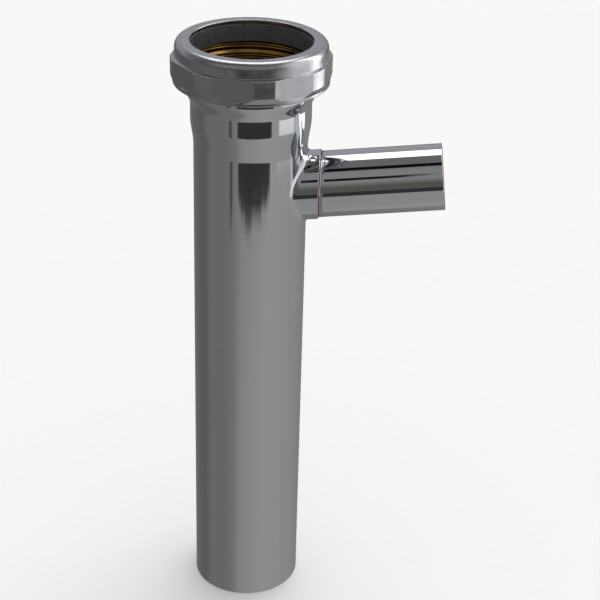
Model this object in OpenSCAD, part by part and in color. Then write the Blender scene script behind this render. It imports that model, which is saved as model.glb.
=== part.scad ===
// Branch tailpiece for a sink waste.
// A drawn brass tube with a slip joint socket and nut at its top, and a small side branch brazed
// into a collar that is pulled out of the tube wall. Millimetres, +Z up, branch towards +X,
// origin at the centre of the cut lower end.

/* [Tube] */
// Outside diameter of the main tube
tube_od = 38.1; // [34:0.1:42]
// Length of the main tube, from its cut end to its rim
tube_len = 203.2; // [150:0.1:300]
// Wall thickness of the main tube
tube_wall = 0.8; // [0.6:0.05:1.1]

/* [Slip joint socket] */
// Radial gap between the socket and the tube above, which has the same diameter as this one
socket_gap = 0.2; // [0.1:0.05:0.4]
// Length of the taper that opens the tube out to the socket
taper_len = 9.6; // [6:0.2:14]
// Length of the straight wall of the socket
socket_len = 5; // [3:0.2:20]
// Length of the shoulder that opens the socket out to the neck
shoulder_len = 5.2; // [4:0.2:9]
// How far the shoulder opens the wall out, on the radius
shoulder_rise = 1.7; // [1:0.1:3]
// Length of the neck, between the shoulder and the thread
neck_len = 2.4; // [1.4:0.2:6]
// How far the crests of the rolled thread stand out from the neck, on the radius
thread_rise = 1.15; // [0.8:0.05:1.4]
// Length of the thread
thread_len = 7.6; // [5:0.2:12]
// Length over which the wall rises from the neck to the thread
runout_len = 1.2; // [0.6:0.1:2]

/* [Branch] */
// Outside diameter of the branch tube
branch_od = 22.2; // [15.9:0.1:24]
// Wall thickness of the branch tube
branch_wall = 0.8; // [0.6:0.05:1.1]
// Distance along the branch from the tube axis to its open end
branch_reach = 65; // [45:0.5:120]
// Angle of the branch above the horizontal
branch_tilt = 7; // [0:0.5:12]
// Plain wall between the foot of the taper and the blend over the collar
branch_drop = 0.7; // [0.4:0.1:60]
// How far the lip of the collar stands out from the side of the tube
collar_rise = 4.5; // [3.5:0.1:8]
// Wall thickness of the collar
collar_wall = 0.75; // [0.6:0.05:1]
// Length of the blend on each side of the corner between tube and collar
blend_reach = 1.8; // [1.2:0.1:2.2]
// Length by which the branch tube stops short of the side of the tube, inside the collar
branch_setback = 1; // [0.5:0.1:1.6]
// How far the end of the branch tube inside the collar is turned down, on the radius
spigot_drop = 0.25; // [0.2:0.05:0.35]

/* [Nut] */
// Height of the nut
nut_height = 14; // [12.6:0.1:17]
// Thickness of the nut from its bore to the middle of a flat
flat_wall = 2.25; // [2:0.05:3.5]
// How far the rounded corners stand out from the flats, on the radius
corner_rise = 0.95; // [0.7:0.05:1.4]
// Height of the eight-sided band
band_height = 7.4; // [6:0.1:8]
// Height of the chamfer at the foot of the band
band_chamfer = 1.6; // [0.8:0.1:2.4]
// Thickness of the round flange below the band, from the bore out
flange_wall = 2.5; // [2.3:0.05:2.9]
// Height of the round flange
flange_height = 1.2; // [0.8:0.1:2]
// Thickness of the round head above the band, from the bore out
head_wall = 1.8; // [1.5:0.05:2]
// Height of the straight side of the head
head_height = 1.8; // [1:0.1:2.2]
// How far the dome of the head turns in, on the radius
dome_reach = 3; // [2:0.1:4]
// Radial gap between the lip and the tube that passes through it
lip_gap = 1; // [0.7:0.05:1.6]
// Thickness of the lip over the washer
lip_thickness = 1.1; // [0.9:0.1:1.6]
// Direction of one flat, turned about the nut axis from the branch
nut_turn = -7.5; // [-22.5:0.5:22.5]

/* [Washer] */
// Radial gap between the washer and the tube that passes through it, at its top
washer_top_gap = 0.8; // [0.4:0.05:1.2]
// Radial gap between the washer and that tube, at its foot
washer_foot_gap = 0.25; // [0.1:0.05:0.4]
// Height of the washer above its seat on the rim
washer_height = 4.4; // [3:0.1:6]
// Depth to which the foot of the washer reaches into the rim
washer_foot = 1.3; // [0.6:0.1:2]

/* [Clearances] */
// Gap between branch and collar that the braze fills
braze_gap = 0.04; // [0.02:0.01:0.08]
// Radial gap between the thread and the nut
thread_gap = 0.3; // [0.2:0.05:0.4]
// Gap between the washer and what is round it
washer_gap = 0.2; // [0.15:0.05:0.3]
// Chamfer on the cut ends and on the edges of the nut
edge_break = 0.2; // [0.1:0.05:0.3]

/* [Hidden] */

overlap = 1;
ease_steps = 10;
dome_steps = 8;
flats = 8;
blend_rings = 72;
blend_steps = 6;
// Handle length of a cubic curve that comes close to a circular blend, as a share of its reach
blend_handle = 0.6;
// Depth to which a blend's edges and heel are sunk into what they join
blend_sink = 0.03;
blend_heel = 0.5;

$fn = 96;

tube_r = tube_od / 2;
bore_r = tube_r - tube_wall;
socket_r = tube_r + socket_gap + tube_wall;
neck_r = socket_r + shoulder_rise;
thread_r = neck_r + thread_rise;
rim_r = thread_r - tube_wall;

// Heights along the tube, worked down from the rim
thread_z = tube_len - thread_len;
neck_z = thread_z - neck_len;
socket_top_z = neck_z - shoulder_len;
socket_z = socket_top_z - socket_len;
taper_z = socket_z - taper_len;

branch_r = branch_od / 2;
branch_bore_r = branch_r - branch_wall;
branch_start = tube_r + branch_setback;
spigot_r = branch_r - spigot_drop;
collar_bore_r = spigot_r + braze_gap;
collar_r = collar_bore_r + collar_wall;
collar_reach = tube_r + collar_rise;
// The branch tube has its full diameter from just past the furthest point of the lip
spigot_end = (collar_reach + collar_r * sin(branch_tilt)) / cos(branch_tilt) + braze_gap;
// The inside of the bend runs one wall further round than the outside
mouth_reach = blend_reach + tube_wall;
// The branch hangs from the foot of the taper: its axis meets the tube axis at this height
branch_z = taper_z - branch_drop - blend_reach - collar_r / cos(branch_tilt)
    - tube_r * tan(branch_tilt);

nut_bore_r = thread_r + thread_gap;
flat_r = nut_bore_r + flat_wall;
corner_r = flat_r + corner_rise;
flange_r = nut_bore_r + flange_wall;
head_r = nut_bore_r + head_wall;
lip_r = tube_r + lip_gap;

// The washer sits on the rim, and the nut's lip on the washer
washer_seat_z = tube_len + washer_gap;
washer_z = tube_len - washer_foot;
washer_top_z = washer_seat_z + washer_height;
washer_r = nut_bore_r - washer_gap;
lip_z = washer_top_z + washer_gap;
nut_top_z = lip_z + lip_thickness;
nut_z = nut_top_z - nut_height;
band_z = nut_z + flange_height;
band_top_z = band_z + band_height;
// The top of the band slopes up to the head
head_z = band_top_z + (corner_r - head_r) / 4;
dome_z = head_z + head_height;

// Points of an S-shaped wall from one radius and height to another, upright at both ends
function eased_wall(r0, z0, r1, z1) = [
    for (i = [0:ease_steps])
        [r0 + (r1 - r0) * (1 - cos(180 * i / ease_steps)) / 2, z0 + (z1 - z0) * i / ease_steps]
];

// Wall of the main tube at a given depth under its outer surface, from the taper to the thread
function tube_side(depth) = concat(
    eased_wall(tube_r - depth, taper_z, socket_r - depth, socket_z),
    eased_wall(socket_r - depth, socket_top_z, neck_r - depth, neck_z),
    eased_wall(neck_r - depth, thread_z, thread_r - depth, thread_z + runout_len)
);

// Distance along the branch at which a cylinder round it crosses a cylinder round the tube, for an
// angle round the branch, counted from its top towards +Y
function crossing_s(r_tube, r_branch, a) =
    (sqrt(r_tube * r_tube - pow(r_branch * sin(a), 2)) + r_branch * cos(a) * sin(branch_tilt))
    / cos(branch_tilt);

// Point at an angle round the branch and a distance along it
function branch_point(r_branch, a, s) = [
    s * cos(branch_tilt) - r_branch * cos(a) * sin(branch_tilt),
    r_branch * sin(a),
    branch_z + s * sin(branch_tilt) + r_branch * cos(a) * cos(branch_tilt)
];

function branch_normal(a) = [-cos(a) * sin(branch_tilt), sin(a), cos(a) * cos(branch_tilt)];

function crossing_point(r_tube, r_branch, a) =
    branch_point(r_branch, a, crossing_s(r_tube, r_branch, a));

// A point of the tube's wall rolled out flat: its arc length round the tube, and its height
function rolled_out(r_tube, p) = [r_tube * atan2(p[1], p[0]) * PI / 180, p[2]];

// Direction away from the branch on the rolled-out wall, square to the crossing line
function away(r_tube, r_branch, a) =
    let (step = rolled_out(r_tube, crossing_point(r_tube, r_branch, a + 0.5))
            - rolled_out(r_tube, crossing_point(r_tube, r_branch, a - 0.5)))
    [-step[1], step[0]] / norm(step);

// One section of the blend: a cubic curve that leaves the tube's wall and meets the collar's wall
// without a crease, closed by a heel that lies inside both
function blend_section(r_tube, r_branch, reach, a) =
    let (
        corner = crossing_point(r_tube, r_branch, a),
        out = away(r_tube, r_branch, a),
        foot = rolled_out(r_tube, corner) + reach * out,
        turn = foot[0] / r_tube * 180 / PI,
        foot_normal = [cos(turn), sin(turn), 0],
        along_tube = -[-sin(turn) * out[0], cos(turn) * out[0], out[1]],
        along_branch = [cos(branch_tilt), 0, sin(branch_tilt)],
        corner_turn = atan2(corner[1], corner[0]),
        start = [r_tube * cos(turn), r_tube * sin(turn), foot[1]] - blend_sink * foot_normal,
        end = corner + reach * along_branch - blend_sink * branch_normal(a),
        handle_a = start + blend_handle * reach * along_tube,
        handle_b = end - blend_handle * reach * along_branch,
        heel = corner
            - blend_heel * ([cos(corner_turn), sin(corner_turn), 0] + branch_normal(a))
    )
    concat(
        [for (i = [0:blend_steps])
            let (t = i / blend_steps, u = 1 - t)
            u * u * u * start + 3 * u * u * t * handle_a + 3 * u * t * t * handle_b + t * t * t * end],
        [heel]
    );

// Ring of blend sections all round the branch, as one closed solid
module saddle_blend(r_tube, r_branch, reach) {
    per_ring = blend_steps + 2;
    rings = [
        for (k = [0:blend_rings - 1]) blend_section(r_tube, r_branch, reach, 360 * k / blend_rings)
    ];
    corners = [
        for (k = [0:blend_rings - 1], j = [0:per_ring - 1])
            let (k2 = (k + 1) % blend_rings, j2 = (j + 1) % per_ring)
            [k * per_ring + j, k * per_ring + j2, k2 * per_ring + j2, k2 * per_ring + j]
    ];
    polyhedron(
        points = [for (ring = rings, p = ring) p],
        faces = [for (c = corners, half = [[c[0], c[1], c[2]], [c[0], c[2], c[3]]]) half]
    );
}

// Moves to the point where the axes meet, with +Z along the branch
module along_branch() {
    translate([0, 0, branch_z]) rotate([0, 90 - branch_tilt, 0]) children();
}

module tube_outside() {
    rotate_extrude() polygon(concat(
        [[0, 0], [tube_r - edge_break, 0], [tube_r, edge_break]],
        tube_side(0),
        [[thread_r, tube_len - edge_break], [thread_r - edge_break, tube_len], [0, tube_len]]
    ));
}

module tube_inside() {
    rotate_extrude() polygon(concat(
        [[0, -overlap], [bore_r, -overlap]],
        tube_side(tube_wall),
        [[rim_r, tube_len + overlap], [0, tube_len + overlap]]
    ));
}

// Sleeve round the branch, trimmed upright at the lip
module collar_sleeve() {
    intersection() {
        along_branch() cylinder(r = collar_r, h = 2 * collar_reach);
        translate([0, -collar_reach, 0]) cube([collar_reach, 2 * collar_reach, tube_len]);
    }
}

module main_tube() {
    color([0.76, 0.77, 0.79]) difference() {
        union() {
            tube_outside();
            collar_sleeve();
            saddle_blend(tube_r, collar_r, blend_reach);
        }
        tube_inside();
        along_branch() cylinder(r = collar_bore_r, h = 2 * collar_reach);
        saddle_blend(bore_r, collar_bore_r, mouth_reach);
    }
}

module branch_tube() {
    color([0.72, 0.73, 0.76]) along_branch() rotate_extrude() polygon([
        [branch_bore_r, branch_start],
        [spigot_r - edge_break, branch_start],
        [spigot_r, branch_start + edge_break],
        [spigot_r, spigot_end],
        [branch_r, spigot_end + spigot_drop],
        [branch_r, branch_reach - edge_break],
        [branch_r - edge_break, branch_reach],
        [branch_bore_r, branch_reach]
    ]);
}

// Quarter of an ellipse over the head of the nut, from its side to its flat top
function dome_points() = [
    for (i = [0:dome_steps])
        let (a = 90 * i / dome_steps)
        [head_r - dome_reach * (1 - cos(a)), dome_z + (nut_top_z - dome_z) * sin(a)]
];

// Round body of the nut: flange, waist behind the band, and domed head
module nut_body() {
    rotate_extrude() polygon(concat(
        [
            [0, nut_z],
            [flange_r - 2 * edge_break, nut_z],
            [flange_r, nut_z + 2 * edge_break],
            [flange_r, band_z],
            [head_r, band_z + band_chamfer]
        ],
        dome_points(),
        [[0, nut_top_z]]
    ));
}

// Eight flats whose corners are turned round and chamfered at both ends
module nut_band() {
    intersection() {
        rotate_extrude() polygon([
            [0, band_z],
            [flange_r, band_z],
            [corner_r, band_z + band_chamfer],
            [corner_r, band_top_z - edge_break],
            [corner_r - edge_break, band_top_z],
            [head_r, head_z],
            [0, head_z]
        ]);
        translate([0, 0, band_z])
            rotate([0, 0, nut_turn + 180 / flats])
            cylinder(r = flat_r / cos(180 / flats), h = head_z, $fn = flats);
    }
}

module slip_nut() {
    color([0.62, 0.63, 0.64]) difference() {
        union() {
            nut_body();
            nut_band();
        }
        rotate_extrude() polygon([
            [0, nut_z - overlap],
            [nut_bore_r + edge_break + overlap, nut_z - overlap],
            [nut_bore_r, nut_z + edge_break],
            [nut_bore_r, lip_z],
            [lip_r, lip_z],
            [lip_r, nut_top_z - 2 * edge_break],
            [lip_r + 2 * edge_break, nut_top_z],
            [lip_r + 2 * edge_break, nut_top_z + overlap],
            [0, nut_top_z + overlap]
        ]);
    }
}

// Washer whose bevelled foot centres it in the rim of the tube
module slip_washer() {
    bevel_r = rim_r - 1.5 * washer_gap;
    color([0.36, 0.36, 0.38]) rotate_extrude() polygon([
        [tube_r + washer_foot_gap, washer_z],
        [bevel_r - washer_foot / 2, washer_z],
        [bevel_r, washer_seat_z],
        [washer_r, washer_seat_z],
        [washer_r, washer_top_z],
        [tube_r + washer_top_gap, washer_top_z]
    ]);
}

main_tube();
branch_tube();
slip_nut();
slip_washer();
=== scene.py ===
# %% [markdown]
# # A branch tailpiece in polished chrome
# The object is a sink waste fitting. A drawn brass tube is opened out at its top into a slip joint
# socket with a rolled thread, an eight-sided nut is screwed on that thread over a grey washer, and a
# small side branch is brazed into a collar pulled out of the tube's wall. The outside is chrome
# plated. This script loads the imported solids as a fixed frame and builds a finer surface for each.

# %% The frame
import math

import bpy
import numpy as np
from mathutils import Matrix


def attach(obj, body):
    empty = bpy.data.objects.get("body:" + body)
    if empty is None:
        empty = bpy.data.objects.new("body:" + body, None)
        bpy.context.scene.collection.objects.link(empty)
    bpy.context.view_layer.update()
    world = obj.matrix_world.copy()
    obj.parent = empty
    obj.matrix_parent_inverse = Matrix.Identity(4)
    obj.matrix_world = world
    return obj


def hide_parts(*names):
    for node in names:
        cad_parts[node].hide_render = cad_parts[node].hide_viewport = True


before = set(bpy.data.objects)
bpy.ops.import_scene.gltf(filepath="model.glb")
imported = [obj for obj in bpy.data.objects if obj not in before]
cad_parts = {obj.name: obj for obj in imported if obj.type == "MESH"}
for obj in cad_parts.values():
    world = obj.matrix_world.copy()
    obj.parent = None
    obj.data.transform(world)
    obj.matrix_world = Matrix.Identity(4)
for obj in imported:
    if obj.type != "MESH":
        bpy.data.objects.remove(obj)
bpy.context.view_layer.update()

# %% [markdown]
# ## Sizes
# Every length below is in millimetres and is the one that the solids have, so that each surface
# lies on its solid. They become metres only when a mesh is made.

# %% Sizes of the tube, the branch, the nut and the washer
MM = 0.001
WALL = 0.8
TUBE_R = 19.05
BORE_R = TUBE_R - WALL
SOCKET_R = 20.05
NECK_R = 21.75
CREST_R = 22.9
RIM_R = 22.55
TUBE_TOP = 203.2
TAPER_Z, SOCKET_Z, SOCKET_TOP, NECK_Z, THREAD_Z = 173.4, 183.0, 188.0, 193.2, 195.6
CUT_EDGE = 0.2

TILT = math.radians(7)
BRANCH_Z = 156.8335
BRANCH_R = 11.1
BRANCH_BORE = 10.3
BRANCH_START, BRANCH_END = 20.05, 65.0
SPIGOT_R = 10.85
COLLAR_R = 11.64
COLLAR_BORE = 10.89
LIP_X = 23.55
BLEND = 1.8

PITCH = 25.4 / 11.5
THREAD_DEPTH = 0.55

# %% [markdown]
# ## Surfaces as functions
# A surface is a function of two numbers: one runs across it and one runs along it. A patch is such a
# function read on a grid. Its normal is square to both directions of travel, so two small steps and
# a cross product give it, exactly as the light sees it and without any help from the mesh. Patches
# that share an edge are welded there, and a finished piece has no open edge.


# %% Patches, welding and the mesh
def ease(t):
    """Half a cosine wave from 0 to 1, level at both ends: (1 - cos(pi t)) / 2, held outside."""
    return (1 - np.cos(np.pi * np.clip(t, 0, 1))) / 2


def patch(surface, across, along, side=1):
    """Points and normals of a surface on a grid: the normal is side * (dP/du x dP/dt), made one long."""
    u, t = np.meshgrid(across, along, indexing="ij")
    step = 1e-4
    over_u = surface(u + step, t) - surface(u - step, t)
    over_t = surface(u, t + step) - surface(u, t - step)
    normals = side * np.cross(over_u, over_t)
    normals /= np.linalg.norm(normals, axis=-1, keepdims=True) + 1e-12
    return surface(u, t), normals


def weld(patches):
    """One list of points, normals and quads from many grids, with equal points made one.

    The quads of each grid are cut in one go, and each is turned so that its own normal agrees with
    the normals of its corners."""
    points, normals, quads, start = [], [], [], 0
    for grid, facing in patches:
        rows, columns = grid.shape[:2]
        index = start + np.arange(rows * columns).reshape(rows, columns)
        quads.append(
            np.stack([index[:-1, :-1], index[1:, :-1], index[1:, 1:], index[:-1, 1:]], -1).reshape(-1, 4)
        )
        points.append(grid.reshape(-1, 3))
        normals.append(facing.reshape(-1, 3))
        start += rows * columns
    points, normals, quads = map(np.concatenate, (points, normals, quads))
    _, first, same = np.unique(np.round(points, 4), axis=0, return_index=True, return_inverse=True)
    same = same.ravel()
    together = np.zeros((len(first), 3))
    np.add.at(together, same, normals)
    together /= np.linalg.norm(together, axis=1, keepdims=True) + 1e-12
    points, quads = points[first], same[quads]
    diagonal_a = points[quads[:, 2]] - points[quads[:, 0]]
    diagonal_b = points[quads[:, 3]] - points[quads[:, 1]]
    wrong = (np.cross(diagonal_a, diagonal_b) * together[quads].sum(1)).sum(1) < 0
    quads[wrong] = quads[wrong][:, ::-1]
    return points, together, quads


def open_edges(quads):
    """How many edges don't have exactly two quads: 0 on a closed surface."""
    edges = np.sort(np.stack([quads, np.roll(quads, -1, axis=1)], -1).reshape(-1, 2), axis=1)
    edges = edges[edges[:, 0] != edges[:, 1]]
    _, uses = np.unique(edges, axis=0, return_counts=True)
    return int((uses != 2).sum())


def make_piece(name, patches, materials, second=None):
    """A mesh piece from patches in millimetres. second(points) picks the faces of the second material."""
    points, normals, quads = weld(patches)
    mesh = bpy.data.meshes.new(name)
    mesh.from_pydata((points * MM).tolist(), [], quads.tolist())
    mesh.polygons.foreach_set("use_smooth", np.ones(len(quads), bool))
    mesh.normals_split_custom_set_from_vertices(normals.tolist())
    for material in materials:
        mesh.materials.append(material)
    if second is not None:
        chosen = second(points[quads].mean(1)).astype(np.int32)
        mesh.polygons.foreach_set("material_index", chosen)
    mesh.update()
    piece = bpy.data.objects.new(name, mesh)
    bpy.context.scene.collection.objects.link(piece)
    print(f"{name}: {len(points)} points, {len(quads)} quads, {open_edges(quads)} open edges")
    return piece


# %% [markdown]
# ## Turned walls
# Most of the fitting is turned: a profile in the plane of radius and height, carried round an axis.
# A profile is a chain of straight lines, eased lines and rounded corners. The chain runs up the
# outside and down the inside, and then the normals all point out of the metal by themselves.


# %% Profiles carried round the axis
def line(a, b):
    """Straight profile from a to b: a + (b - a) t."""
    return lambda u, t: (a[0] + (b[0] - a[0]) * t, a[1] + (b[1] - a[1]) * t)


def eased_line(a, b):
    """S-shaped profile, upright at both ends: the radius eases while the height runs evenly."""
    return lambda u, t: (a[0] + (b[0] - a[0]) * (1 - np.cos(np.pi * t)) / 2, a[1] + (b[1] - a[1]) * t)


def corner(a, c, b):
    """Rounded corner from a to b under c: a cubic curve with handles 0.55 of the way to c, close to
    a quarter circle."""

    def curve(u, t):
        k = 0.55
        return tuple(
            (1 - t) ** 3 * p + 3 * (1 - t) ** 2 * t * (p + k * (q - p)) + 3 * (1 - t) * t**2 * (s + k * (q - s)) + t**3 * s
            for p, q, s in zip(a, c, b)
        )

    return curve


def turned(profile):
    """The profile carried round the tube: (r cos u, r sin u, z)."""

    def surface(u, t):
        r, z = profile(u, t)
        return np.stack(np.broadcast_arrays(r * np.cos(u), r * np.sin(u), z + 0 * u), -1)

    return surface


def along_branch(profile):
    """The profile carried round the branch: its height is the distance s along the tilted axis."""

    def surface(a, t):
        r, s = profile(a, t)
        return branch_point(r, a, s)

    return surface


def branch_point(r, a, s):
    """Point at radius r, angle a round the branch from its top towards +Y, distance s along it."""
    x = s * math.cos(TILT) - r * np.cos(a) * math.sin(TILT)
    z = BRANCH_Z + s * math.sin(TILT) + r * np.cos(a) * math.cos(TILT)
    return np.stack(np.broadcast_arrays(x, r * np.sin(a), z), -1)


# %% [markdown]
# ## The rolled thread
# The thread isn't cut but rolled: the thin wall itself is pressed into a helix, so the same wave
# shows inside the tube. Its radius is a cosine of the phase height / pitch - turns, which climbs one
# pitch a turn, a right-hand screw. The nut's bore follows the same wave 0.3 mm further out. The
# model's joints move the nut along that very helix, so the two threads never touch.


# %% Thread radius on the tube and in the nut
def groove(u, z):
    """0 on a crest and 1 in a groove of the helix."""
    return (1 + np.cos(2 * np.pi * (z / PITCH - u / (2 * np.pi)))) / 2


def tube_thread(u, z):
    """Outer radius of the tube from the neck to the rim: neck + rise, less the groove, faded out at
    the rim."""
    rise = ease((z - THREAD_Z) / 1.2)
    last = ease((z - 201.5) / 1.3)
    return (
        NECK_R + (CREST_R - NECK_R) * rise - THREAD_DEPTH * rise * (1 - last) * groove(u, z) - (CREST_R - RIM_R) * last
    )


def thread_outside(u, t):
    z = THREAD_Z + (TUBE_TOP - CUT_EDGE - THREAD_Z) * t
    return tube_thread(u, z), z


def thread_inside(u, t):
    z = TUBE_TOP - CUT_EDGE - (TUBE_TOP - CUT_EDGE - THREAD_Z) * t
    return tube_thread(u, z) - WALL + 0.2 * ease((z - 201.5) / 1.3), z


# %% [markdown]
# ## The pulled collar
# The skilful feature of this fitting is the collar. A ball is pulled out through a hole in the wall,
# which draws the metal into a short sleeve with no crease, inside or out. On the wall rolled out
# flat, the foot of the blend lies a fixed distance outside the line where tube and branch cross. A
# cubic curve leaves the wall there and meets the collar along the branch. A ring of such sections
# round the branch fills a window in the plain tube, whose edge uses the points of the tube's grid.


# %% Crossing line, foot and blend of the collar
def crossing_s(r_tube, r_branch, a):
    """Distance along the branch where the two cylinders cross: solves x^2 + y^2 = r_tube^2."""
    flat = np.sqrt(r_tube**2 - (r_branch * np.sin(a)) ** 2)
    return (flat + r_branch * np.cos(a) * math.sin(TILT)) / math.cos(TILT)


def crossing(r_tube, r_branch, a):
    return branch_point(r_branch, a, crossing_s(r_tube, r_branch, a))


def rolled_out(r_tube, p):
    """Arc length round the tube, and height."""
    return np.stack([r_tube * np.arctan2(p[..., 1], p[..., 0]), p[..., 2]], -1)


def rolled_up(r_tube, flat):
    turn = flat[..., 0] / r_tube
    return np.stack([r_tube * np.cos(turn), r_tube * np.sin(turn), flat[..., 1]], -1)


def foot(r_tube, r_branch, reach, a):
    """Foot of the blend on the rolled-out wall, and the way out, square to the crossing line."""
    half = math.radians(0.5)
    step = rolled_out(r_tube, crossing(r_tube, r_branch, a + half)) - rolled_out(
        r_tube, crossing(r_tube, r_branch, a - half)
    )
    out = np.stack([-step[..., 1], step[..., 0]], -1) / np.linalg.norm(step, axis=-1, keepdims=True)
    return rolled_out(r_tube, crossing(r_tube, r_branch, a)) + reach * out, out


def saddle(r_tube, r_branch, reach):
    """Blend from wall (t = 0) to collar (t = 1): a cubic curve whose handles lie along both."""

    def surface(a, t):
        flat, out = foot(r_tube, r_branch, reach, a)
        turn = flat[..., 0] / r_tube
        inwards = -np.stack([-np.sin(turn) * out[..., 0], np.cos(turn) * out[..., 0], out[..., 1]], -1)
        ahead = np.array([math.cos(TILT), 0, math.sin(TILT)])
        start = rolled_up(r_tube, flat)
        end = crossing(r_tube, r_branch, a) + reach * ahead
        handle = 0.6 * reach
        t = t[..., None]
        return (
            (1 - t) ** 3 * start
            + 3 * (1 - t) ** 2 * t * (start + handle * inwards)
            + 3 * (1 - t) * t**2 * (end - handle * ahead)
            + t**3 * end
        )

    return surface


def lip_s(r, a):
    """Distance along the branch at which a cylinder of radius r meets the upright plane of the lip."""
    return (LIP_X + r * np.cos(a) * math.sin(TILT)) / math.cos(TILT)


def between(first, last):
    """Straight line in space between two functions of the angle."""

    def surface(a, t):
        return (1 - t[..., None]) * first(a) + t[..., None] * last(a)

    return surface


def lip_corner(first, top, last):
    """Rounded edge in space: a quadratic curve under the sharp corner."""

    def surface(a, t):
        t = t[..., None]
        return (1 - t) ** 2 * first(a) + 2 * (1 - t) * t * top(a) + t**2 * last(a)

    return surface


# %% Grid of the tube, and the window for the collar
COLUMNS = 192
WINDOW = math.radians(60)
WINDOW_Z0, WINDOW_ROWS = 141.0, 40
WINDOW_CENTRE = 159.17
round_tube = -WINDOW + np.linspace(0, 2 * np.pi, COLUMNS + 1)
window_columns = COLUMNS // 3
window_z = np.linspace(WINDOW_Z0, TAPER_Z, WINDOW_ROWS + 1)


def window_edge():
    """Points of the tube's grid round the window, from its top centre towards +Y: angle and height."""
    u = round_tube[: window_columns + 1]
    half = window_columns // 2
    down, up = window_z[::-1], window_z
    turn = np.concatenate([u[half:], np.full(WINDOW_ROWS, u[-1]), u[-2::-1], np.full(WINDOW_ROWS, u[0]), u[1 : half + 1]])
    height = np.concatenate(
        [np.full(half + 1, TAPER_Z), down[1:], np.full(window_columns, WINDOW_Z0), up[1:], np.full(half, TAPER_Z)]
    )
    return turn, height


edge_turn, edge_z = window_edge()
edge_angle = np.unwrap(np.arctan2(TUBE_R * edge_turn, edge_z - WINDOW_CENTRE))
print("sections round the collar:", len(edge_angle) - 1)


def wall_patch(r_tube, r_branch, reach, side):
    """Wall from the window's edge in to the foot of the blend, straight on the rolled-out wall."""
    edge = np.stack([r_tube * edge_turn, edge_z], -1)[:, None]
    inner = foot(r_tube, r_branch, reach, edge_angle)[0][:, None]
    share = np.linspace(0, 1, 9)[None, :, None]
    points = rolled_up(r_tube, edge + (inner - edge) * share)
    normals = side * points * [1, 1, 0] / r_tube
    return points, normals


# %% The main tube's patches
def main_tube_patches():
    made = []

    def turn(profile, steps, across=round_tube, side=1):
        made.append(patch(turned(profile), across, np.linspace(0, 1, steps + 1), side))

    back = round_tube[window_columns:]
    e = CUT_EDGE
    turn(corner((TUBE_R - e, 0), (TUBE_R, 0), (TUBE_R, e)), 4)
    turn(line((TUBE_R, e), (TUBE_R, WINDOW_Z0)), 24)
    turn(line((TUBE_R, WINDOW_Z0), (TUBE_R, TAPER_Z)), WINDOW_ROWS, back)
    turn(eased_line((TUBE_R, TAPER_Z), (SOCKET_R, SOCKET_Z)), 24)
    turn(line((SOCKET_R, SOCKET_Z), (SOCKET_R, SOCKET_TOP)), 6)
    turn(eased_line((SOCKET_R, SOCKET_TOP), (NECK_R, NECK_Z)), 20)
    turn(line((NECK_R, NECK_Z), (NECK_R, THREAD_Z)), 4)
    turn(thread_outside, 64)
    top, top_in = RIM_R, RIM_R - WALL + 0.2
    turn(corner((top, TUBE_TOP - e), (top, TUBE_TOP), (top - e, TUBE_TOP)), 4)
    turn(line((top - e, TUBE_TOP), (top_in + e, TUBE_TOP)), 1)
    turn(corner((top_in + e, TUBE_TOP), (top_in, TUBE_TOP), (top_in, TUBE_TOP - e)), 4)
    turn(thread_inside, 64)
    turn(line((NECK_R - WALL, THREAD_Z), (NECK_R - WALL, NECK_Z)), 4)
    turn(eased_line((NECK_R - WALL, NECK_Z), (SOCKET_R - WALL, SOCKET_TOP)), 20)
    turn(line((SOCKET_R - WALL, SOCKET_TOP), (SOCKET_R - WALL, SOCKET_Z)), 6)
    turn(eased_line((SOCKET_R - WALL, SOCKET_Z), (BORE_R, TAPER_Z)), 24)
    turn(line((BORE_R, TAPER_Z), (BORE_R, WINDOW_Z0)), WINDOW_ROWS, back)
    turn(line((BORE_R, WINDOW_Z0), (BORE_R, e)), 24)
    turn(corner((BORE_R, e), (BORE_R, 0), (BORE_R + e, 0)), 4)
    turn(line((BORE_R + e, 0), (TUBE_R - e, 0)), 1)
    return made


def collar_patches():
    """Window edge, blend, collar, lip, collar bore and inner blend, in that order, ring by ring."""
    reach_in = BLEND + WALL
    edge, inner_edge = 0.3, 0.12
    fine = np.linspace(0, 1, 17)
    few = np.linspace(0, 1, 6)

    def outer_end(a):
        return branch_point(COLLAR_R, a, crossing_s(TUBE_R, COLLAR_R, a) + BLEND)

    def inner_end(a):
        return branch_point(COLLAR_BORE, a, crossing_s(BORE_R, COLLAR_BORE, a) + reach_in)

    def on_lip(r):
        return lambda a: branch_point(r, a, lip_s(r, a))

    def below_lip(r, depth):
        return lambda a: branch_point(r, a, lip_s(r, a) - depth)

    def ring(surface, along):
        return patch(surface, edge_angle, along, -1)

    outer_blend = saddle(TUBE_R, COLLAR_R, BLEND)
    inner_blend = saddle(BORE_R, COLLAR_BORE, reach_in)
    return [
        wall_patch(TUBE_R, COLLAR_R, BLEND, 1),
        ring(outer_blend, fine),
        ring(between(outer_end, below_lip(COLLAR_R, edge)), few),
        ring(lip_corner(below_lip(COLLAR_R, edge), on_lip(COLLAR_R), on_lip(COLLAR_R - edge)), few),
        ring(between(on_lip(COLLAR_R - edge), on_lip(COLLAR_BORE + inner_edge)), few),
        ring(
            lip_corner(on_lip(COLLAR_BORE + inner_edge), on_lip(COLLAR_BORE), below_lip(COLLAR_BORE, inner_edge)), few
        ),
        ring(between(below_lip(COLLAR_BORE, inner_edge), inner_end), few),
        ring(lambda a, t: inner_blend(a, 1 - t), fine),
        wall_patch(BORE_R, COLLAR_BORE, reach_in, -1),
    ]


# %% [markdown]
# ## The branch tube
# A plain length of tube, cut square and deburred. Its inner end is turned down a little, enters the
# collar and stops just short of the bore. It is full size from the lip on.


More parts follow.
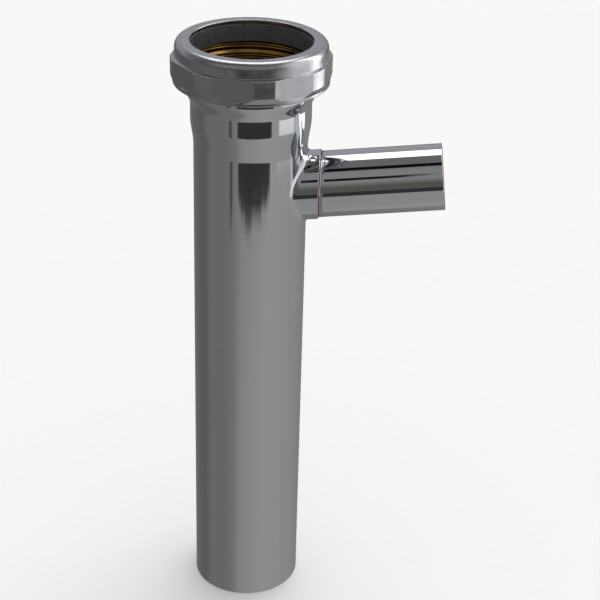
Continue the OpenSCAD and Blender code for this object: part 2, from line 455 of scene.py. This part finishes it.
# %% The branch tube's patches
def branch_patches():
    across = np.linspace(0, 2 * np.pi, 161)
    made = []

    def turn(profile, steps):
        made.append(patch(along_branch(profile), across, np.linspace(0, 1, steps + 1), -1))

    def at_lip(r, gap):
        return lambda a: lip_s(r, a) + gap

    def sleeve(r, first, last):
        """Straight wall whose ends may lie further along on one side than on the other."""
        return lambda a, t: (r + 0 * t, (1 - t) * value(first, a) + t * value(last, a))

    def value(x, a):
        return x(a) if callable(x) else x + 0 * a

    def shoulder(a, t):
        r = SPIGOT_R + (BRANCH_R - SPIGOT_R) * t
        return r, (1 - t) * at_lip(SPIGOT_R, 0.04)(a) + t * at_lip(BRANCH_R, 0.04)(a)

    e = CUT_EDGE
    turn(line((BRANCH_BORE, BRANCH_START), (SPIGOT_R - e, BRANCH_START)), 1)
    turn(corner((SPIGOT_R - e, BRANCH_START), (SPIGOT_R, BRANCH_START), (SPIGOT_R, BRANCH_START + e)), 4)
    turn(sleeve(SPIGOT_R, BRANCH_START + e, at_lip(SPIGOT_R, 0.04)), 4)
    turn(shoulder, 1)
    turn(sleeve(BRANCH_R, at_lip(BRANCH_R, 0.04), BRANCH_END - e), 24)
    turn(corner((BRANCH_R, BRANCH_END - e), (BRANCH_R, BRANCH_END), (BRANCH_R - e, BRANCH_END)), 5)
    turn(line((BRANCH_R - e, BRANCH_END), (BRANCH_BORE + e, BRANCH_END)), 1)
    turn(corner((BRANCH_BORE + e, BRANCH_END), (BRANCH_BORE, BRANCH_END), (BRANCH_BORE, BRANCH_END - e)), 4)
    turn(line((BRANCH_BORE, BRANCH_END - e), (BRANCH_BORE, BRANCH_START)), 24)
    return made


# %% [markdown]
# ## Rings with rounded corners
# The nut and the washer are rings: a closed outline of corners carried round the axis, each corner
# rounded. On the nut two of the corners move in and out with the angle, which makes the flats.


# %% A ring from an outline
def ring_patches(corners, across):
    """corners: (radius, height, rounding, steps, wave). Radius and height may be functions of the
    angle, rounding is the length cut from each side of the corner, steps counts the rows of the edge
    that follows, and wave(u, z) is taken off that edge's radius."""
    count = len(corners)

    def value(x, u):
        return x(u) if callable(x) else x + 0 * u

    def at(i, u):
        return np.stack([value(corners[i][0], u), value(corners[i][1], u)], -1)

    def cut(i, towards, u):
        here, there = at(i, u), at(towards, u)
        way = there - here
        length = np.linalg.norm(way, axis=-1, keepdims=True) + 1e-9
        return here + way * np.minimum(corners[i][2] / length, 0.48)

    def bend(i):
        def profile(u, t):
            a, c, b = cut(i, i - 1, u), at(i, u), cut(i, (i + 1) % count, u)
            curve = corner((a[..., 0], a[..., 1]), (c[..., 0], c[..., 1]), (b[..., 0], b[..., 1]))
            return curve(u, t)

        return profile

    def edge(i):
        def profile(u, t):
            after = (i + 1) % count
            a, b = cut(i, after, u), cut(after, i, u)
            r, z = (a[..., k] + (b[..., k] - a[..., k]) * t for k in (0, 1))
            wave = corners[i][4]
            return (r - wave(u, z) if wave else r), z

        return profile

    made = []
    for i in range(count):
        rows = 12 if corners[i][2] > 1 else 4
        made.append(patch(turned(bend(i)), across, np.linspace(0, 1, rows + 1)))
        made.append(patch(turned(edge(i)), across, np.linspace(0, 1, corners[i][3] + 1)))
    return made


# %% [markdown]
# ## The nut
# A zinc casting with eight flats and turned corners, a round flange below and a domed head above.
# A flat at distance d has the radius d / cos(angle from its middle), and the corner is a cylinder.
# A soft minimum of the two rounds the ridge between them by a few hundredths, as polishing does.

# %% Sizes and outline of the nut
NUT_BORE, FLAT_R, NUT_CORNER_R, FLANGE_R, HEAD_R, NUT_LIP_R = 23.2, 25.45, 26.4, 25.7, 25.0, 20.05
NUT_Z, BAND_Z, BAND_TOP, NUT_LIP_Z, NUT_TOP = 195.1, 196.3, 203.7, 208.0, 209.1
BAND_CHAMFER = 1.6
NUT_TURN = math.radians(-7.5)


def band_r(u):
    """Radius of the eight-sided band: the soft minimum of the nearest flat and the corner."""
    off = (u - NUT_TURN + np.pi / 8) % (np.pi / 4) - np.pi / 8
    flat = FLAT_R / np.cos(off)
    soft = 0.02
    return -soft * np.logaddexp(-flat / soft, -NUT_CORNER_R / soft)


def band_foot(u):
    return BAND_Z + BAND_CHAMFER * np.abs(band_r(u) - FLANGE_R) / (NUT_CORNER_R - FLANGE_R)


def band_head(u):
    return BAND_TOP + (NUT_CORNER_R - band_r(u)) / 4


def nut_wave(u, z):
    """The nut's thread: the tube's wave, faded out at the mouth and under the washer's seat."""
    return THREAD_DEPTH * ease((z - 195.7) / 0.8) * (1 - ease((z - 202.2) / 0.8)) * groove(u, z)


def nut_across():
    """Angles round the nut, close together at the sixteen ridges and wide apart between them."""
    half = math.acos(FLAT_R / NUT_CORNER_R)
    near = math.radians(1.1)
    one = np.concatenate(
        [
            np.linspace(-half + near, half - near, 7)[:-1],
            np.linspace(half - near, half + near, 11)[:-1],
            np.linspace(half + near, np.pi / 4 - half - near, 7)[:-1],
            np.linspace(np.pi / 4 - half - near, np.pi / 4 - half + near, 11)[:-1],
        ]
    )
    turns = NUT_TURN + np.arange(8) * np.pi / 4
    across = (turns[:, None] + one[None, :]).ravel()
    return np.append(across, across[0] + 2 * np.pi)


nut_corners = [
    (FLANGE_R, NUT_Z, 0.4, 1, None),
    (FLANGE_R, BAND_Z, 0.15, 2, None),
    (band_r, band_foot, 0.3, 6, None),
    (band_r, band_head, 0.25, 2, None),
    (HEAD_R, BAND_TOP + 0.35, 0.3, 1, None),
    (HEAD_R, NUT_TOP, 3.1, 2, None),
    (NUT_LIP_R, NUT_TOP, 0.4, 1, None),
    (NUT_LIP_R, NUT_LIP_Z, 0.15, 2, None),
    (NUT_BORE, NUT_LIP_Z, 0.1, 120, nut_wave),
    (NUT_BORE, NUT_Z, 0.35, 1, None),
]

# %% [markdown]
# ## The washer
# A moulded rubber ring. Its bevelled foot centres it in the rim, and the nut's lip presses on it.

# %% Outline of the washer
washer_corners = [
    (21.15, 201.9, 0.25, 2, None),
    (21.8, 203.4, 0.08, 1, None),
    (23.0, 203.4, 0.25, 4, None),
    (23.0, 207.8, 0.3, 2, None),
    (19.85, 207.8, 0.35, 8, None),
    (19.3, 201.9, 0.3, 1, None),
]

# %% [markdown]
# ## Materials
# One function adds a node with its settings and links. Each material is named for the real one.


# %% Node and colour helpers
def colour(hex_code):
    """An sRGB hex value as linear light: ((c + 0.055) / 1.055) ** 2.4 above 0.04045."""
    c = np.array([int(hex_code[i : i + 2], 16) for i in (0, 2, 4)]) / 255
    linear = np.where(c <= 0.04045, c / 12.92, ((c + 0.055) / 1.055) ** 2.4)
    return (*linear.tolist(), 1.0)


def add_node(tree, kind, inputs=None, **settings):
    """Adds a node. An input is a plain value, or a pair (node, output name) to link."""
    node = tree.nodes.new(kind)
    for key, setting in settings.items():
        setattr(node, key, setting)
    for key, given in (inputs or {}).items():
        if isinstance(given, tuple) and isinstance(given[0], bpy.types.Node):
            tree.links.new(given[0].outputs[given[1]], node.inputs[key])
        else:
            node.inputs[key].default_value = given
    return node


def new_material(name, shader_inputs, build=None):
    """A Principled material. build(tree) returns more inputs for the shader, linked to nodes."""
    material = bpy.data.materials.new(name)
    material.use_nodes = True
    tree = material.node_tree
    tree.nodes.clear()
    inputs = dict(shader_inputs)
    if build:
        inputs.update(build(tree))
    shader = add_node(tree, "ShaderNodeBsdfPrincipled", inputs)
    add_node(tree, "ShaderNodeOutputMaterial", {"Surface": (shader, "BSDF")})
    return material


# %% [markdown]
# **Polished chrome plate.** Buffed brass under bright nickel and chrome: a near mirror, slightly
# blue, with a soft ripple left by the buffing wheel, a few centimetres long and a micron deep.


# %% Chrome plate
def chrome_build(tree):
    place = add_node(tree, "ShaderNodeTexCoord")
    ripple = add_node(tree, "ShaderNodeTexNoise", {"Vector": (place, "Object"), "Scale": 90.0, "Detail": 2.0})
    haze = add_node(tree, "ShaderNodeTexNoise", {"Vector": (place, "Object"), "Scale": 260.0, "Detail": 4.0})
    rough = add_node(
        tree,
        "ShaderNodeMapRange",
        {"Value": (haze, "Fac"), "From Min": 0.3, "From Max": 0.7, "To Min": 0.05, "To Max": 0.075},
    )
    bump = add_node(tree, "ShaderNodeBump", {"Height": (ripple, "Fac"), "Strength": 1.0, "Distance": 0.00001})
    return {"Roughness": (rough, "Result"), "Normal": (bump, "Normal")}


chrome = new_material("polished_chrome_plate", {"Base Color": colour("C9CBCE"), "Metallic": 1.0}, chrome_build)

# %% [markdown]
# **Raw brass inside.** The bore isn't plated. It keeps the drawn surface, dull gold.


# %% Raw brass
def brass_build(tree):
    place = add_node(tree, "ShaderNodeTexCoord")
    stain = add_node(tree, "ShaderNodeTexNoise", {"Vector": (place, "Object"), "Scale": 120.0, "Detail": 5.0})
    tone = add_node(tree, "ShaderNodeValToRGB", {"Fac": (stain, "Fac")})
    tone.color_ramp.elements[0].position = 0.35
    tone.color_ramp.elements[0].color = colour("8A6A35")
    tone.color_ramp.elements[1].position = 0.65
    tone.color_ramp.elements[1].color = colour("B8955A")
    return {"Base Color": (tone, "Color")}


brass = new_material("raw_drawn_brass", {"Metallic": 1.0, "Roughness": 0.22}, brass_build)

# %% [markdown]
# **Chromed die-cast zinc.** The plate is thin and the casting under it wasn't buffed, so the nut is
# satin, with a fine grain a fifth of a millimetre across.


# %% Chromed zinc
def zinc_build(tree):
    place = add_node(tree, "ShaderNodeTexCoord")
    grain = add_node(tree, "ShaderNodeTexNoise", {"Vector": (place, "Object"), "Scale": 3200.0, "Detail": 3.0})
    cloud = add_node(tree, "ShaderNodeTexNoise", {"Vector": (place, "Object"), "Scale": 220.0, "Detail": 3.0})
    rough = add_node(
        tree,
        "ShaderNodeMapRange",
        {"Value": (cloud, "Fac"), "From Min": 0.3, "From Max": 0.7, "To Min": 0.2, "To Max": 0.32},
    )
    bump = add_node(tree, "ShaderNodeBump", {"Height": (grain, "Fac"), "Strength": 0.5, "Distance": 0.00004})
    return {"Roughness": (rough, "Result"), "Normal": (bump, "Normal")}


zinc = new_material("satin_chromed_zinc", {"Base Color": colour("B4B6B9"), "Metallic": 1.0}, zinc_build)

# %% [markdown]
# **Moulded rubber.** Dark grey with a dry bloom, matt.


# %% Rubber
def rubber_build(tree):
    place = add_node(tree, "ShaderNodeTexCoord")
    bloom = add_node(tree, "ShaderNodeTexNoise", {"Vector": (place, "Object"), "Scale": 400.0, "Detail": 4.0})
    tone = add_node(tree, "ShaderNodeValToRGB", {"Fac": (bloom, "Fac")})
    tone.color_ramp.elements[0].position = 0.3
    tone.color_ramp.elements[0].color = colour("3A3B3E")
    tone.color_ramp.elements[1].position = 0.7
    tone.color_ramp.elements[1].color = colour("4A4B4E")
    bump = add_node(tree, "ShaderNodeBump", {"Height": (bloom, "Fac"), "Strength": 0.3, "Distance": 0.00005})
    return {"Base Color": (tone, "Color"), "Normal": (bump, "Normal")}


rubber = new_material("moulded_grey_rubber", {"Roughness": 0.55}, rubber_build)

# %% [markdown]
# ## The pieces
# Each piece takes the place of its solid and rides on the same body.


# %% Make the pieces
def inside_tube(centres):
    """Faces of the bare brass: those nearer to the axis than the middle of the wall."""
    r = np.hypot(centres[:, 0], centres[:, 1])
    z = centres[:, 2]
    outer = np.interp(
        z,
        [0, TAPER_Z, SOCKET_Z, SOCKET_TOP, NECK_Z, THREAD_Z, THREAD_Z + 1.2, 201.5, TUBE_TOP],
        [TUBE_R, TUBE_R, SOCKET_R, SOCKET_R, NECK_R, NECK_R, CREST_R, CREST_R, RIM_R],
    )
    plain = r < outer - 0.62
    s = (centres[:, 0] * math.cos(TILT)) + (z - BRANCH_Z) * math.sin(TILT)
    across = centres[:, 0] * -math.sin(TILT) + (z - BRANCH_Z) * math.cos(TILT)
    off = np.hypot(centres[:, 1], across)
    in_collar = (s > 10) & (off < COLLAR_BORE + 0.3)
    near_collar = (centres[:, 0] > 0) & (off < COLLAR_R + 0.1) & (r > BORE_R + 0.3)
    return np.where(near_collar, in_collar, plain)


def inside_branch(centres):
    across = centres[:, 0] * -math.sin(TILT) + (centres[:, 2] - BRANCH_Z) * math.cos(TILT)
    return np.hypot(centres[:, 1], across) < BRANCH_BORE + 0.1


main_tube = make_piece("tube_shell", main_tube_patches() + collar_patches(), [chrome, brass], inside_tube)
branch_tube = make_piece("branch_shell", branch_patches(), [chrome, brass], inside_branch)
slip_nut = make_piece("nut_shell", ring_patches(nut_corners, nut_across()), [zinc])
slip_washer = make_piece("washer_ring", ring_patches(washer_corners, np.linspace(0, 2 * np.pi, 161)), [rubber])

for piece, body, node, slot in (
    (main_tube, "tube", "main_tube", "tube_chrome"),
    (branch_tube, "tube", "branch_tube", "branch_chrome"),
    (slip_nut, "nut", "slip_nut", "nut_zinc"),
    (slip_washer, "washer", "slip_washer", "washer_rubber"),
):
    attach(piece, body)
    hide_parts(node)

# %% [markdown]
# ## Camera
# The camera was solved from the photograph: a 91 mm lens on a 36 mm frame, half a metre away and
# 28 degrees above the horizontal, with the branch to the right.

# %% Camera
pan, pitch, roll = -0.0615, 0.4863, 0.0286
forward = np.array([math.sin(pan) * math.cos(pitch), math.cos(pan) * math.cos(pitch), -math.sin(pitch)])
level = np.array([math.cos(pan), -math.sin(pan), 0.0])
upright = np.cross(level, forward)
right = math.cos(roll) * level + math.sin(roll) * upright
top = -math.sin(roll) * level + math.cos(roll) * upright
camera_data = bpy.data.cameras.new("camera")
camera_data.lens = 1515.98 / 600 * 36
camera_data.sensor_width = 36
camera_data.clip_start = 0.01
camera = bpy.data.objects.new("camera", camera_data)
place = Matrix(np.column_stack([right, top, -forward]).tolist()).to_4x4()
place.translation = (0.046661, -0.467253, 0.362787)
camera.matrix_world = place
bpy.context.scene.collection.objects.link(camera)
bpy.context.scene.camera = camera

# %% [markdown]
# ## Studio
# Chrome has hardly a colour of its own: it shows what stands round it. So the studio is built as a photographer would:
# a white floor, soft light from all sides and a lamp above for the shadow. Round the part stands a tent that only the
# reflections see. It is not cloth under light: it glows, painted with reflections of grey and dark cards and with
# strips of painted highlight brighter than white. The cards' places were read off the reflections in the photograph,
# and each is soft at its edges.


# %% The floor
def flat_disc(name, radius, height, material):
    """A disc as one fan of 128 points."""
    turn = np.linspace(0, 2 * np.pi, 129)[:-1]
    points = np.stack([radius * np.cos(turn), radius * np.sin(turn), np.full(128, height)], -1)
    mesh = bpy.data.meshes.new(name)
    mesh.from_pydata(points.tolist(), [], [list(range(128))])
    mesh.materials.append(material)
    disc = bpy.data.objects.new(name, mesh)
    bpy.context.scene.collection.objects.link(disc)
    return disc


def paper_build(tree):
    place = add_node(tree, "ShaderNodeTexCoord")
    fibre = add_node(tree, "ShaderNodeTexNoise", {"Vector": (place, "Object"), "Scale": 900.0, "Detail": 3.0})
    bump = add_node(tree, "ShaderNodeBump", {"Height": (fibre, "Fac"), "Strength": 0.1, "Distance": 0.00005})
    return {"Normal": (bump, "Normal")}


paper = new_material(
    "white_paper", {"Base Color": colour("F6F6F6"), "Roughness": 0.9, "Specular IOR Level": 0.0}, paper_build
)
floor = flat_disc("floor", 6.0, 0.0, paper)
floor.visible_glossy = False


# %% The tent and its cards of painted reflection
def soft_band(value, low, high, soft):
    """1 between low and high, 0 outside, with eased edges of the given width."""
    return ease((value - low) / soft + 0.5) * ease((high - value) / soft + 0.5)


def painted_reflection_colours(direction):
    """Painted reflections and painted highlights: the glow of the tent in each direction, from cards laid over one
    another.

    turn is degrees round from the front (-Y) towards the branch (+X), rise is degrees above the
    horizon, and over is degrees from the front horizon up and over to the back."""
    x, y, z = direction.T
    turn = np.degrees(np.arctan2(x, -y))
    rise = np.degrees(np.arcsin(np.clip(z, -1, 1)))
    over = np.degrees(np.arctan2(z, -y))

    def lay(colours, tone, share):
        """Covers a share of what is there with a card of this painted glow."""
        return colours + (np.array(tone) - colours) * share[:, None]

    # Painted reflection of a grey table below the horizon, lighter towards the branch.
    table = np.interp(
        turn, [-180, -135, -100, -80, -45, -25, -10, 40, 80, 120, 150, 180],
        [0.22, 0.17, 0.15, 0.22, 0.22, 0.26, 0.36, 0.44, 0.42, 0.38, 0.3, 0.22],
    )
    colours = table[:, None] * np.array([1.0, 1.0, 1.0])
    # Painted reflections above the horizon: grey walls, a dark olive front, a lilac-grey back and a black band
    # overhead.
    upper = ease((rise + 14) / 6)
    colours = lay(colours, (0.2, 0.2, 0.2), upper)
    front = soft_band(turn, -75, 60, 8)
    colours = lay(colours, (0.13, 0.128, 0.115), front * soft_band(rise, -11, 30, 3))
    colours = lay(colours, (0.32, 0.32, 0.315), soft_band(over, 14, 62, 24) * (np.abs(x) < 0.8))
    colours = lay(colours, (0.20, 0.20, 0.205), soft_band(over, 73, 105, 3))
    colours = lay(colours, (0.45, 0.44, 0.48), soft_band(over, 131, 178, 4) * ease((rise + 2) / 8))
    colours = lay(colours, (0.005, 0.005, 0.005), soft_band(over, 62, 73.3, 1.0) * (np.abs(x) < 0.9))
    # Painted highlights: a strip above the back and a softbox to the right glow at three times white, with a bright
    # card beside the softbox. A small black patch sits up in front.
    colours = lay(colours, (3.0, 3.0, 3.0), soft_band(over, 104, 132, 1.2) * soft_band(x, -0.42, 0.31, 0.03))
    colours = lay(colours, (0.004, 0.004, 0.004), soft_band(rise, 28, 36, 1) * soft_band(turn, -13, -5, 1.5))
    colours = lay(colours, (1.1, 1.1, 1.1), soft_band(turn, 60, 104, 6) * soft_band(rise, -21.5, 50, 3))
    colours = lay(colours, (3.0, 3.0, 3.0), soft_band(turn, 106, 126, 2) * soft_band(rise, -22.5, 56, 2))
    # Painted reflection of a dark wedge low in front, and of a dark grey patch to its left.
    left = np.interp(rise, [-25.1, -24.9, -24.5, -24.2, -23.5], [-2, -5, -12, -15.5, -19])
    right = np.interp(rise, [-25.1, -24.9, -24.5, -24.2, -23.5], [0, 15.5, 27.7, 38, 45])
    dark = ease((turn - left) / 2 + 0.5) * ease((right - turn) / 2 + 0.5) * soft_band(rise, -25.2, -11, 0.6)
    colours = lay(colours, (0.045, 0.044, 0.043), dark)
    colours = lay(colours, (0.1, 0.1, 0.1), soft_band(turn, -36, -30, 2) * soft_band(rise, -25, -10, 2))
    return colours


def make_tent():
    """A ball of 3 m radius round the part, its points at even steps of turn and height angle."""
    rows, columns = 360, 720
    rise = np.linspace(-np.pi / 2 + 1e-3, np.pi / 2 - 1e-3, rows + 1)
    turn = np.linspace(0, 2 * np.pi, columns + 1)[:-1]
    rise_grid, turn_grid = np.meshgrid(rise, turn, indexing="ij")
    direction = np.stack(
        [np.cos(rise_grid) * np.sin(turn_grid), -np.cos(rise_grid) * np.cos(turn_grid), np.sin(rise_grid)], -1
    ).reshape(-1, 3)
    index = np.arange((rows + 1) * columns).reshape(rows + 1, columns)
    ahead = np.roll(index, -1, axis=1)
    quads = np.stack([index[:-1], index[1:], ahead[1:], ahead[:-1]], -1).reshape(-1, 4)
    mesh = bpy.data.meshes.new("tent")
    mesh.from_pydata((direction * 3 + [0, 0, 0.16]).tolist(), [], quads.tolist())
    tones = mesh.color_attributes.new("painted_reflection_glow", "FLOAT_COLOR", "POINT")
    rgba = np.concatenate([painted_reflection_colours(direction), np.ones((len(direction), 1))], axis=1)
    tones.data.foreach_set("color", rgba.ravel().astype(np.float32))
    # The tent's material glows with the painted reflections and painted highlights, and only reflections see it.
    reflection_paint = bpy.data.materials.new("painted_reflection_tent")
    reflection_paint.use_nodes = True
    tree = reflection_paint.node_tree
    tree.nodes.clear()
    tone = add_node(tree, "ShaderNodeAttribute", attribute_name="painted_reflection_glow")
    glow = add_node(tree, "ShaderNodeEmission", {"Color": (tone, "Color")})
    add_node(tree, "ShaderNodeOutputMaterial", {"Surface": (glow, "Emission")})
    mesh.materials.append(reflection_paint)
    tent = bpy.data.objects.new("tent", mesh)
    bpy.context.scene.collection.objects.link(tent)
    tent.visible_camera = False
    tent.visible_diffuse = False
    tent.visible_shadow = False
    tent.visible_transmission = False
    print("tent points:", len(direction))


make_tent()

# %% [markdown]
# The world gives the soft light, and a sun with a wide disc, as from a ceiling of cloth, gives the
# shadow on the floor. Together they light a white surface just under white.

# %% World and lamp
world = bpy.data.worlds.new("soft_light")
bpy.context.scene.world = world
world.use_nodes = True
world.node_tree.nodes.clear()
sky = add_node(world.node_tree, "ShaderNodeBackground", {"Color": (1.0, 1.0, 1.0, 1.0), "Strength": 0.78})
add_node(world.node_tree, "ShaderNodeOutputWorld", {"Surface": (sky, "Background")})

sun_data = bpy.data.lights.new("ceiling", "SUN")
sun_data.energy = 0.85
sun_data.angle = math.radians(50)
sun = bpy.data.objects.new("ceiling", sun_data)
sun.rotation_euler = (math.radians(-25), math.radians(12), 0)
sun.visible_glossy = False
bpy.context.scene.collection.objects.link(sun)

# %% [markdown]
# ## View settings
# The picture is shown as it is.

# %% Finish
bpy.context.scene.view_settings.view_transform = "Standard"
